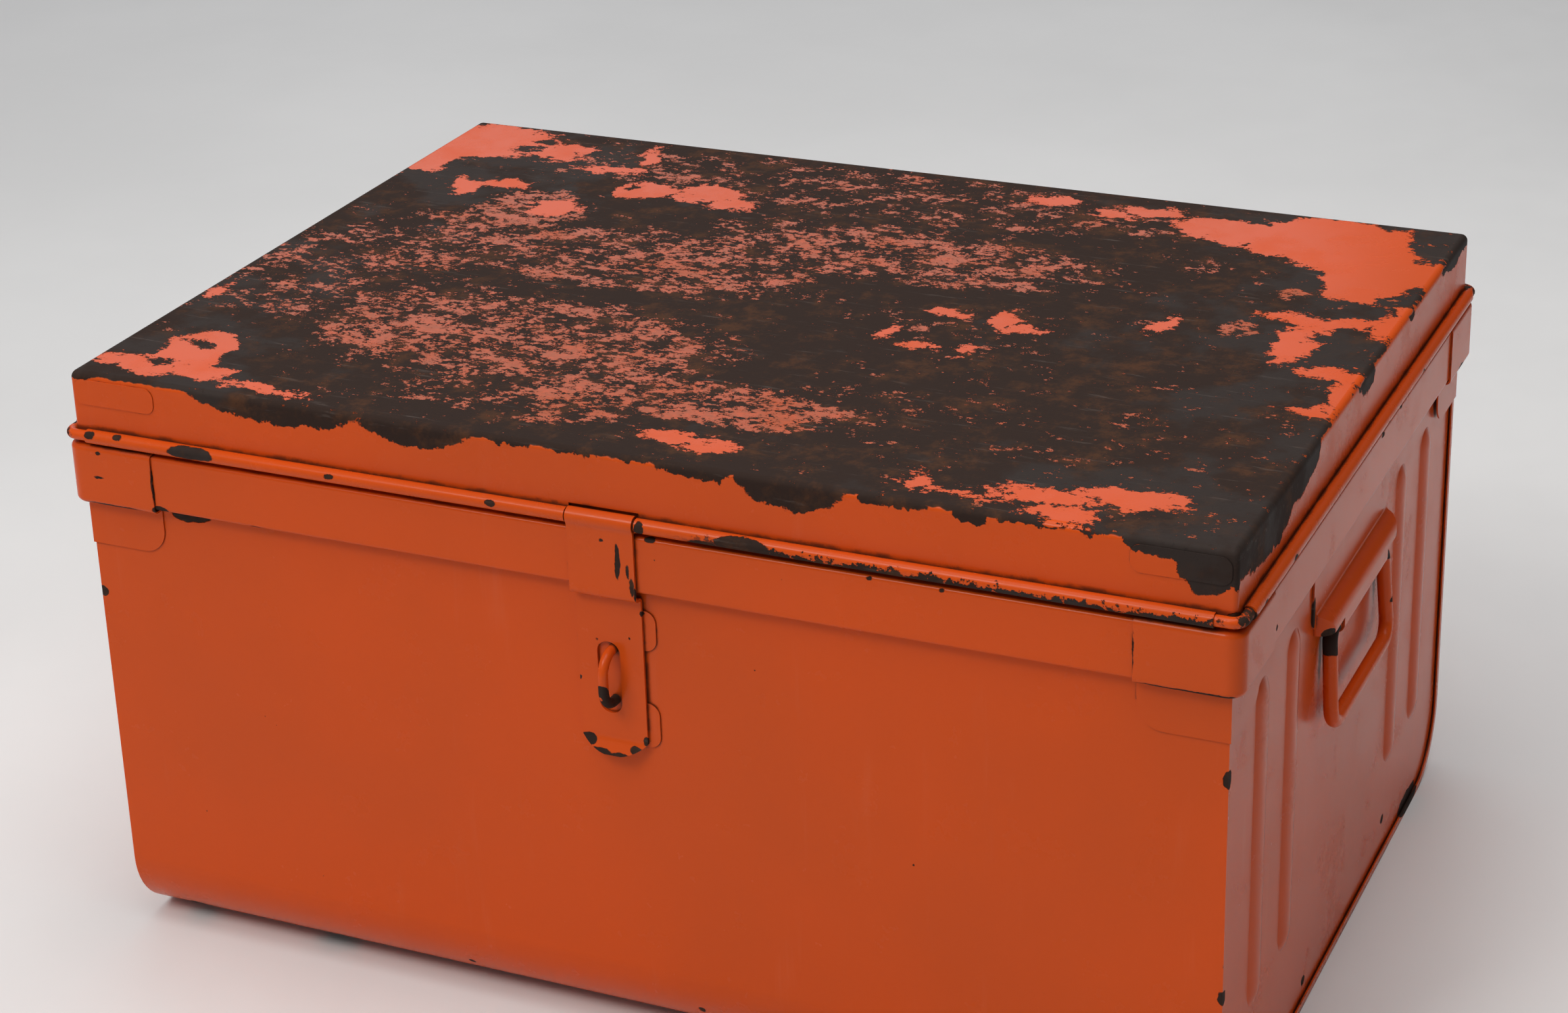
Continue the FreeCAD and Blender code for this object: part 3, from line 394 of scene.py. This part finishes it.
def edge_group():
    """Rubbing along sharp edges, broken up by noise."""
    g, ins, out = new_group(
        "Edge Wear", (("Point", "vector", None), ("Reach", "value", 0.001), ("Amount", "value", 0.5)),
        (("Mask", "value"),))
    round_edge = g.node("ShaderNodeBevel", {"Radius": ins["Reach"]}, samples=4)
    face = g.node("ShaderNodeNewGeometry")
    flat = g.vector("DOT_PRODUCT", round_edge.outputs[0], face.outputs["Normal"])
    turned = g.math("SUBTRACT", 1.0, flat)
    broken = g.noise(ins["Point"], 0.009, 6, 0.7)
    limit = g.between(ins["Amount"], 0.80, 0.30)
    patchy = g.step(g.math("SUBTRACT", broken, limit), 0.0, 0.06)
    worn = g.math("MULTIPLY", g.step(turned, 0.03, 0.12), patchy)
    g.put(out.inputs["Mask"], worn)
    return g.tree


def spot_group():
    """Small stray chips and specks."""
    g, ins, out = new_group(
        "Stray Spots", (("Point", "vector", None), ("Size", "value", 0.004), ("Amount", "value", 0.1)),
        (("Mask", "value"),))
    scale = g.math("DIVIDE", 1.0, ins["Size"])
    speck = g.node("ShaderNodeTexNoise", {"Vector": ins["Point"], "Scale": scale, "Detail": 2.0})
    where = g.noise(ins["Point"], 0.05, 2)
    field = g.math("ADD", speck.outputs["Fac"], g.math("MULTIPLY", 0.35, where))
    limit = g.between(ins["Amount"], 1.06, 0.86)
    g.put(out.inputs["Mask"], g.step(g.math("SUBTRACT", field, limit), 0.0, 0.012))
    return g.tree


def make_effects():
    """Every shared effect, built once."""
    made = {"blot": blot_group, "stray": stray_group, "enamel": enamel_group,
            "steel": steel_group, "seam": seam_group, "edge": edge_group, "spots": spot_group}
    return {name: make() for name, make in made.items()}


# ---- masks -----------------------------------------------------------------------------------
def furthest_inside(g, effects, point, blots):
    """Largest depth inside any of the ellipsoids given in millimetres."""
    best = None
    for x, y, z, rx, ry, rz in blots:
        inside = g.group(effects["blot"], Point=point, Centre=(x * MM, y * MM, z * MM),
                         Radii=(rx * MM, ry * MM, rz * MM), Size=min(rx, ry, rz) * MM)[0]
        best = inside if best is None else g.math("MAXIMUM", best, inside)
    return best


def flat_blots(rows, thick=1000.0):
    """Ellipses on the lid's top as ellipsoids that reach far up and down."""
    return [(x, y, 318.0, rx, ry, thick) for x, y, rx, ry in rows]


def lid_field(effects):
    """Node group: bare steel mask of the lid, from its patches, flakes and chips."""
    g, ins, out = new_group("Lid Wear", (("Point", "vector", None), ("Normal", "vector", None)),
                            (("Bare", "value"), ("Thin", "value"), ("Newness", "value")))
    point = ins["Point"]
    roam = g.group(effects["stray"], Point=point, Lobe=0.026, Lobe_Reach=0.016, Nick=0.006,
                   Nick_Reach=0.0030)[0]
    patch = furthest_inside(g, effects, roam, flat_blots(LID_PATCHES))
    hole = furthest_inside(g, effects, roam, flat_blots(LID_HOLES))
    sound = g.math("MINIMUM", patch, g.math("MULTIPLY", hole, -1.0))

    thickness = None
    for x, y, rx, ry, weight in LID_FLAKES:
        inside = g.group(effects["blot"], Point=point, Centre=(x * MM, y * MM, 0.318),
                         Radii=(rx * MM, ry * MM, 1.0), Size=1.0)[0]
        here = g.step(inside, -0.12, 0.42, 0.0, weight)
        thickness = here if thickness is None else g.math("MAXIMUM", thickness, here)
    thickness = g.math("MAXIMUM", thickness, 0.22)
    stretched = g.vector("MULTIPLY", point, (0.72, 1.0, 1.0))
    coarse = g.noise(stretched, 0.015, 4, 0.65)
    fine = g.noise(stretched, 0.0034, 6, 0.75)
    grain = g.math("ADD", g.math("MULTIPLY", coarse, 0.38), g.math("MULTIPLY", fine, 0.62))
    limit = g.node("ShaderNodeMapRange", {
        "Value": thickness, "From Min": 0.2, "From Max": 0.7, "To Min": 0.595, "To Max": 0.488})
    flakes = g.math("SUBTRACT", grain, limit.outputs[0])
    flake_mask = g.step(flakes, 0.0, 0.010)

    crumbs = g.math("MULTIPLY", g.math("SUBTRACT", fine, 0.5), 0.022)
    sound_mask = g.step(g.math("ADD", sound, crumbs), -0.0002, 0.0003)
    top_paint = g.math("MAXIMUM", sound_mask, flake_mask)
    near = g.group(effects["stray"], Point=point, Lobe=0.014, Lobe_Reach=0.0060, Nick=0.0035,
                   Nick_Reach=0.0024)[0]
    chips = g.step(furthest_inside(g, effects, near, SKIRT_CHIPS), -0.0001, 0.0003)
    close = g.group(effects["stray"], Point=point, Lobe=0.008, Lobe_Reach=0.0016, Nick=0.002,
                    Nick_Reach=0.0007)[0]
    bead = g.step(furthest_inside(g, effects, close, BEAD_CHIPS), -0.0001, 0.0002)
    chips = g.math("MAXIMUM", chips, bead)

    x, y, z = g.split(point)
    crumbly = g.math("MULTIPLY", g.math("SUBTRACT", g.noise(point, 0.0045, 5, 0.7), 0.5), 0.016)
    under_bead = g.step(g.math("SUBTRACT", g.math("ADD", z, crumbly), 0.2850), 0.0, 0.0003, 1.0, 0.0)
    under_bead = g.math("MULTIPLY", under_bead, g.step(x, 0.030, 0.060))
    under_bead = g.math("MULTIPLY", under_bead, g.math("LESS_THAN", y, -0.20))
    chips = g.math("MAXIMUM", chips, under_bead)
    wavy = g.math("MULTIPLY", g.math("SUBTRACT", g.noise(point, 0.008, 4), 0.5), 0.004)
    on_top = g.step(g.math("ADD", z, wavy), 0.3160, 0.3166)
    bare = g.between(on_top, chips, g.math("SUBTRACT", 1.0, top_paint))
    outward = g.vector("DOT_PRODUCT", ins["Normal"], g.vector("SUBTRACT", point, (0.0, 0.0, 0.27)))
    outside = g.math("MAXIMUM", g.step(outward, -0.002, 0.002), g.math("LESS_THAN", z, 0.2905))
    g.put(out.inputs["Bare"], g.math("MULTIPLY", bare, outside))
    thin = g.math("MULTIPLY", on_top, g.math("SUBTRACT", 1.0, sound_mask))
    g.put(out.inputs["Thin"], g.math("MULTIPLY", thin, outside))
    newness = g.math("ADD", g.step(g.math("ABSOLUTE", x), 0.10, 0.26, -0.10, 0.07),
                     g.step(patch, -0.028, -0.004, 0.0, 0.12))
    g.put(out.inputs["Newness"], newness)
    return g.tree


# ---- materials ---------------------------------------------------------------------------------
class Finish:
    """The trunk's settings, and the shared effects, which the first step builds."""

    effects = None

    def __init__(self, scene):
        self.paint = scene.trunk_paint
        self.wear = scene.trunk_wear
        if Finish.effects is None:
            Finish.effects = make_effects()


def new_material(name):
    material = bpy.data.materials.new(name)
    material.use_nodes = True
    return material, Graph(material.node_tree)


def place_of(g):
    """Object-space position and normal, which ride with the body."""
    where = g.node("ShaderNodeTexCoord")
    return where.outputs["Object"], where.outputs["Normal"]


def lay_paint(g, finish, point, bare, thin=None, newness=0.0, gloss=None, dents=0.0, dirt_and_shade=0.8):
    """Principled shader: enamel over steel, parted by the bare mask, with seams darkened by painted
    shade and dirt.
    """
    paint, wear, effects = finish.paint, finish.wear, finish.effects
    enamel = g.group(effects["enamel"], Point=point, Colour=rgba(paint.enamel),
                     Worn=rgba(paint.enamel_worn), Gloss=gloss or paint.gloss, Dents=dents)
    steel = g.group(effects["steel"], Point=point, Brown=rgba(paint.steel_brown),
                    Grey=rgba(paint.steel_grey), Rust=rgba(paint.rust), Newness=newness)
    coat = enamel["Colour"]
    if thin is not None:
        stain = g.step(g.noise(point, 0.006, 5, 0.7), 0.30, 0.65, 0.45, 1.0)
        coat = g.blend(g.math("MULTIPLY", thin, stain), coat, rgba(paint.enamel_worn))
    # Ambient occlusion darkens seams and corners towards a near-black brown: painted shade, along with
    # dirt.
    seam = g.group(effects["seam"], Point=point, Reach=wear.dirt_and_shade_reach)["Mask"]
    coat = g.blend(g.math("MULTIPLY", seam, dirt_and_shade), coat, (0.035, 0.014, 0.009, 1.0))
    colour = g.blend(bare, coat, steel["Colour"])
    coat_rough = g.math("ADD", enamel["Roughness"], g.math("MULTIPLY", seam, 0.2))
    rough = g.between(bare, coat_rough, steel["Roughness"])
    metallic = g.math("MULTIPLY", bare, steel["Metallic"])
    step = g.math("MULTIPLY", g.math("SUBTRACT", 1.0, bare), wear.chip_depth)
    height = g.math("ADD", step, g.between(bare, enamel["Height"], steel["Height"]))
    bump = g.node("ShaderNodeBump", {"Height": height, "Strength": 1.0, "Distance": 1.0})
    shader = g.node("ShaderNodeBsdfPrincipled", {
        "Base Color": colour, "Roughness": rough, "Metallic": metallic,
        "Normal": bump.outputs[0], "Specular IOR Level": DULL_SHINE})
    g.node("ShaderNodeOutputMaterial", {"Surface": shader.outputs[0]})


def chipped_material(name, finish, chips, keep=(), spots=0.25, edges=0.45, lobe=4.0, nick=1.6,
                     dents=0.0, gloss=None, dirt_and_shade=0.8):
    """Enamelled steel with chips at given places, stray spots and rubbed edges."""
    material, g = new_material(name)
    effects, wear = finish.effects, finish.wear
    point, _ = place_of(g)
    roam = g.group(effects["stray"], Point=point, Lobe=3 * lobe * MM, Lobe_Reach=0.5 * lobe * MM,
                   Nick=2 * nick * MM, Nick_Reach=0.5 * nick * MM)[0]
    bare = g.step(furthest_inside(g, effects, roam, chips), -0.0001, 0.0002)
    if keep:
        left = g.step(furthest_inside(g, effects, roam, keep), -0.0001, 0.0002)
        bare = g.math("MULTIPLY", bare, g.math("SUBTRACT", 1.0, left))
    rubbed = g.group(effects["edge"], Point=point, Reach=wear.edge_reach, Amount=edges)["Mask"]
    stray = g.group(effects["spots"], Point=point, Size=0.004, Amount=spots)["Mask"]
    bare = g.math("MAXIMUM", g.math("MAXIMUM", bare, rubbed), stray)
    lay_paint(g, finish, point, bare, dents=dents, gloss=gloss, dirt_and_shade=dirt_and_shade)
    return material


def lid_material(finish):
    """Lid enamel, flaked off most of the top."""
    material, g = new_material("Lid Enamel")
    point, normal = place_of(g)
    field = g.group(lid_field(finish.effects), Point=point, Normal=normal)
    stray = g.group(finish.effects["spots"], Point=point, Size=0.004, Amount=0.22)["Mask"]
    bare = g.math("MAXIMUM", field["Bare"], stray)
    lay_paint(g, finish, point, bare, thin=field["Thin"], newness=field["Newness"],
              dents=finish.wear.dent_depth, gloss=finish.paint.gloss + 0.04)
    return material


def wire_material(finish):
    """Dark bare wire in the lid's rolled edge."""
    material, g = new_material("Edge Wire")
    paint = finish.paint
    point, _ = place_of(g)
    steel = g.group(finish.effects["steel"], Point=point, Brown=rgba(paint.steel_brown),
                    Grey=rgba(paint.steel_grey), Rust=rgba(paint.rust), Newness=0.0)
    left = g.step(g.noise(point, 0.012, 5, 0.65), 0.44, 0.50)
    colour = g.blend(left, steel["Colour"], rgba(paint.enamel))
    rough = g.between(left, steel["Roughness"], paint.gloss)
    height = g.math("ADD", steel["Height"], g.math("MULTIPLY", left, finish.wear.chip_depth))
    metallic = g.math("MULTIPLY", steel["Metallic"], g.math("SUBTRACT", 1.0, left))
    bump = g.node("ShaderNodeBump", {"Height": height, "Strength": 1.0, "Distance": 1.0})
    shader = g.node("ShaderNodeBsdfPrincipled", {
        "Base Color": colour, "Roughness": rough, "Normal": bump.outputs[0],
        "Specular IOR Level": WIRE_SHINE, "Metallic": metallic})
    g.node("ShaderNodeOutputMaterial", {"Surface": shader.outputs[0]})
    return material


def dress(nodes, material):
    """Gives CAD nodes one material."""
    for name in nodes:
        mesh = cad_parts[name].data
        mesh.materials.clear()
        mesh.materials.append(material)


# ---- operators -----------------------------------------------------------------------------------
class TRUNK_OT_shell(bpy.types.Operator):
    """Enamel the folded body and its end plates"""

    bl_idname = "trunk.shell"
    bl_label = "Body Shell"

    def execute(self, context):
        finish = Finish(context.scene)
        material = chipped_material("Body Enamel", finish, SHELL_CHIPS, spots=0.16, edges=0.42,
                                    dents=finish.wear.dent_depth)
        dress(SHELL_NODES, material)
        return {"FINISHED"}


class TRUNK_OT_rim(bpy.types.Operator):
    """Enamel the rim band, its corner caps and the corner patches"""

    bl_idname = "trunk.rim"
    bl_label = "Rim Band and Corners"

    def execute(self, context):
        finish = Finish(context.scene)
        # The rim's chip table also holds thin painted shade lines along the corner caps' edges.
        material = chipped_material("Rim Enamel", finish, RIM_CHIPS_AND_SHADE_LINES, spots=0.24, edges=0.34,
                                    lobe=2.0, nick=1.0, dents=0.3 * finish.wear.dent_depth)
        dress(BAND_NODES + CAP_NODES + PATCH_NODES, material)
        return {"FINISHED"}


class TRUNK_OT_lid(bpy.types.Operator):
    """Flaked enamel on the lid and bare wire in its edge"""

    bl_idname = "trunk.lid"
    bl_label = "Lid"

    def execute(self, context):
        finish = Finish(context.scene)
        dress(("lid_panel",), lid_material(finish))
        dress(("lid_edge_wire",), wire_material(finish))
        return {"FINISHED"}


class TRUNK_OT_hasp(bpy.types.Operator):
    """Hasp, padlock staple and its plate"""

    bl_idname = "trunk.hasp"
    bl_label = "Hasp and Staple"

    def execute(self, context):
        finish = Finish(context.scene)
        strap = chipped_material("Hasp Enamel", finish, HASP_CHIPS, spots=0.25, edges=0.30,
                                 lobe=2.4, nick=1.3)
        dress(("hasp_strap", "staple_plate"), strap)
        staple = chipped_material("Staple Enamel", finish, STAPLE_CHIPS, keep=STAPLE_KEEP,
                                  spots=0.3, edges=0.2, lobe=1.6, nick=0.8)
        dress(("staple_loop",), staple)
        return {"FINISHED"}


class TRUNK_OT_hinges(bpy.types.Operator):
    """Back hinge straps and their rivets"""

    bl_idname = "trunk.hinges"
    bl_label = "Back Hinges"

    def execute(self, context):
        finish = Finish(context.scene)
        material = chipped_material("Hinge Enamel", finish, RIM_CHIPS_AND_SHADE_LINES[-1:], spots=0.4, edges=0.6,
                                    lobe=1.5, nick=0.8)
        dress(HINGE_NODES, material)
        return {"FINISHED"}


class TRUNK_OT_handles(bpy.types.Operator):
    """Handle brackets and bails"""

    bl_idname = "trunk.handles"
    bl_label = "Handles"

    def execute(self, context):
        finish = Finish(context.scene)
        bracket = chipped_material("Bracket Enamel", finish, BRACKET_CHIPS, spots=0.25,
                                   edges=0.40, lobe=1.6, nick=0.8)
        dress(BRACKET_NODES, bracket)
        bail = chipped_material("Bail Enamel", finish, BAIL_CHIPS, spots=0.30, edges=0.1,
                                lobe=2.4, nick=1.0)
        dress(BAIL_NODES, bail)
        return {"FINISHED"}


def soft_light(name, place, aim, width, depth, power, tint=(1.0, 1.0, 1.0)):
    """Rectangular soft light that faces a point."""
    data = bpy.data.lights.new(name, "AREA")
    data.shape = "RECTANGLE"
    data.size, data.size_y = width, depth
    data.energy = power
    data.color = tint
    light = bpy.data.objects.new(name, data)
    light.location = place
    away = Vector(place) - Vector(aim)
    light.rotation_euler = away.to_track_quat("Z", "Y").to_euler()
    bpy.context.scene.collection.objects.link(light)


def floor_material(colour):
    """Plain pale floor with a faint unevenness."""
    material, g = new_material("Pale Floor")
    point, _ = place_of(g)
    drift = g.noise(point, 0.5, 4)
    worn = g.noise(point, 0.03, 5, 0.6)
    darker = tuple(0.93 * c for c in colour)
    tone = g.blend(g.step(drift, 0.3, 0.7), rgba(colour), rgba(darker))
    rough = g.step(worn, 0.3, 0.7, 0.55, 0.70)
    shader = g.node("ShaderNodeBsdfPrincipled", {"Base Color": tone, "Roughness": rough})
    g.node("ShaderNodeOutputMaterial", {"Surface": shader.outputs[0]})
    return material


class TRUNK_OT_stage(bpy.types.Operator):
    """Pale floor, soft lights and the camera"""

    bl_idname = "trunk.stage"
    bl_label = "Stage"

    def execute(self, context):
        scene = context.scene
        stage = scene.trunk_stage
        lowest = cad_box[0].z
        reach = FLOOR_REACH
        mesh = bpy.data.meshes.new("floor")
        mesh.from_pydata([(-reach, -reach, lowest), (reach, -reach, lowest),
                          (reach, reach, lowest), (-reach, reach, lowest)], [], [(0, 1, 2, 3)])
        floor = bpy.data.objects.new("floor", mesh)
        mesh.materials.append(floor_material(stage.floor_colour))
        scene.collection.objects.link(floor)

        middle = (cad_box[0] + cad_box[1]) / 2
        soft_light("front_light", (-0.9, -2.0, 2.5), middle, 1.3, 1.0, stage.key_power,
                   (1.0, 0.97, 0.93))
        soft_light("top_light", (0.2, -0.1, 2.4), middle, 2.4, 1.8, stage.sky_power,
                   (1.0, 0.98, 0.95))
        soft_light("rear_light", (-1.5, 2.7, 1.5), middle, 2.2, 1.0, stage.rear_power,
                   (0.90, 0.94, 1.0))

        world = bpy.data.worlds.new("Soft Room")
        world.use_nodes = True
        g = Graph(world.node_tree)
        way = g.node("ShaderNodeTexCoord").outputs["Generated"]
        lit = g.vector("DOT_PRODUCT", way, BRIGHT_WAY)
        lit = g.step(lit, -0.5, 0.9, 0.12, 1.15)
        sky = g.node("ShaderNodeBackground", {"Color": (0.90, 0.91, 0.94, 1.0),
                                              "Strength": g.math("MULTIPLY", lit, stage.ambient)})
        g.node("ShaderNodeOutputWorld", {"Surface": sky.outputs[0]})
        scene.world = world
        scene.view_settings.view_transform = "Standard"

        data = bpy.data.cameras.new("camera")
        data.sensor_width = CAMERA_SENSOR
        data.lens = stage.lens
        data.shift_y = CAMERA_SHIFT
        data.clip_start, data.clip_end = 0.05, 60.0
        camera = bpy.data.objects.new("camera", data)
        camera.location = CAMERA_PLACE
        camera.rotation_euler = [math.radians(a) for a in CAMERA_TURN]
        scene.collection.objects.link(camera)
        scene.camera = camera
        return {"FINISHED"}


class TRUNK_PT_panel(bpy.types.Panel):
    """Steps that finish the trunk, in order"""

    bl_idname = "TRUNK_PT_panel"
    bl_label = "Steel Trunk"
    bl_space_type = "VIEW_3D"
    bl_region_type = "UI"
    bl_category = "Steel Trunk"

    def draw(self, context):
        layout = self.layout
        for step in STEPS:
            layout.operator(step.bl_idname)
        for settings in (context.scene.trunk_paint, context.scene.trunk_wear, context.scene.trunk_stage):
            box = layout.box()
            for name in settings.__annotations__:
                box.prop(settings, name)


STEPS = (TRUNK_OT_shell, TRUNK_OT_rim, TRUNK_OT_lid, TRUNK_OT_hasp, TRUNK_OT_hinges,
         TRUNK_OT_handles, TRUNK_OT_stage)
SETTINGS = (("trunk_paint", TrunkPaint), ("trunk_wear", TrunkWear), ("trunk_stage", TrunkStage))
CLASSES = tuple(group for _, group in SETTINGS) + STEPS + (TRUNK_PT_panel,)


def register():
    for item in CLASSES:
        bpy.utils.register_class(item)
    for name, group in SETTINGS:
        setattr(bpy.types.Scene, name, bpy.props.PointerProperty(type=group))


def unregister():
    for name, _ in SETTINGS:
        delattr(bpy.types.Scene, name)
    for item in reversed(CLASSES):
        bpy.utils.unregister_class(item)


def main():
    register()
    bpy.ops.trunk.shell()
    bpy.ops.trunk.rim()
    bpy.ops.trunk.lid()
    bpy.ops.trunk.hasp()
    bpy.ops.trunk.hinges()
    bpy.ops.trunk.handles()
    bpy.ops.trunk.stage()


if __name__ == "__main__":
    main()
